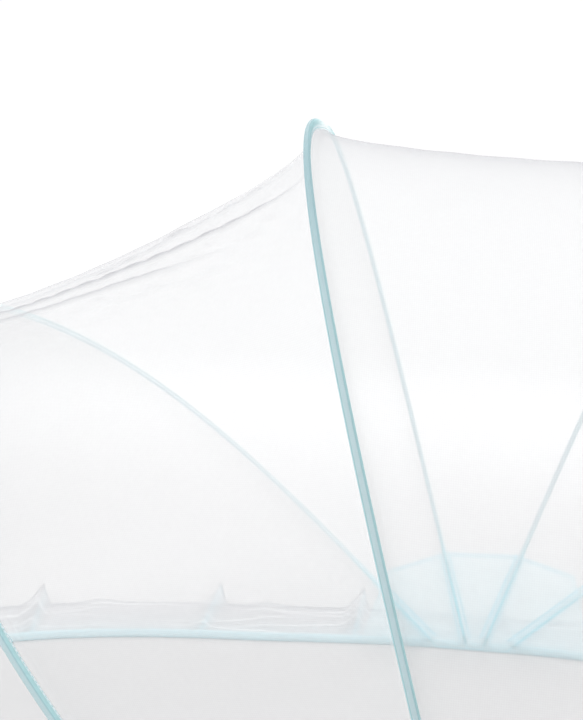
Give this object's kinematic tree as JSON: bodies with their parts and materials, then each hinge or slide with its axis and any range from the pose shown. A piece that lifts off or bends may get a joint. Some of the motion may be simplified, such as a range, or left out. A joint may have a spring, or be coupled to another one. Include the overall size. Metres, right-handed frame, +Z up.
{
  "type": "foldable mosquito net",
  "caption": "Pop-up mosquito net for a bed: sprung hoops fan out from side hubs under sheer mesh, with a bound base and a voile skirt on the floor",
  "frame": {"origin": "centre of the footprint on the floor", "axes": "X runs along the bed, Y across the bed from the near side to the far side, Z up"},
  "size_m": [2.272, 1.272, 0.8579],
  "materials": {
    "white_mesh": "sheer knitted white mesh, matte",
    "aqua_binding": "pale aqua woven binding tape, matte",
    "aqua_voile": "pale aqua woven voile, half sheer",
    "white_voile": "white woven voile, half sheer, overlocked edge"
  },
  "bodies": {
    "root": {"net_end_left": "white_mesh", "net_side_left": "white_mesh", "net_middle": "white_mesh", "net_side_right": "white_mesh", "net_end_right": "white_mesh", "hoop_outer_left": "aqua_binding", "hoop_inner_left": "aqua_binding", "hoop_inner_right": "aqua_binding", "hoop_outer_right": "aqua_binding", "base_band": "aqua_binding", "hub_patch_far": "aqua_voile", "hub_patch_near": "aqua_voile", "floor_skirt": "white_voile"}
  },
  "joints": []
}
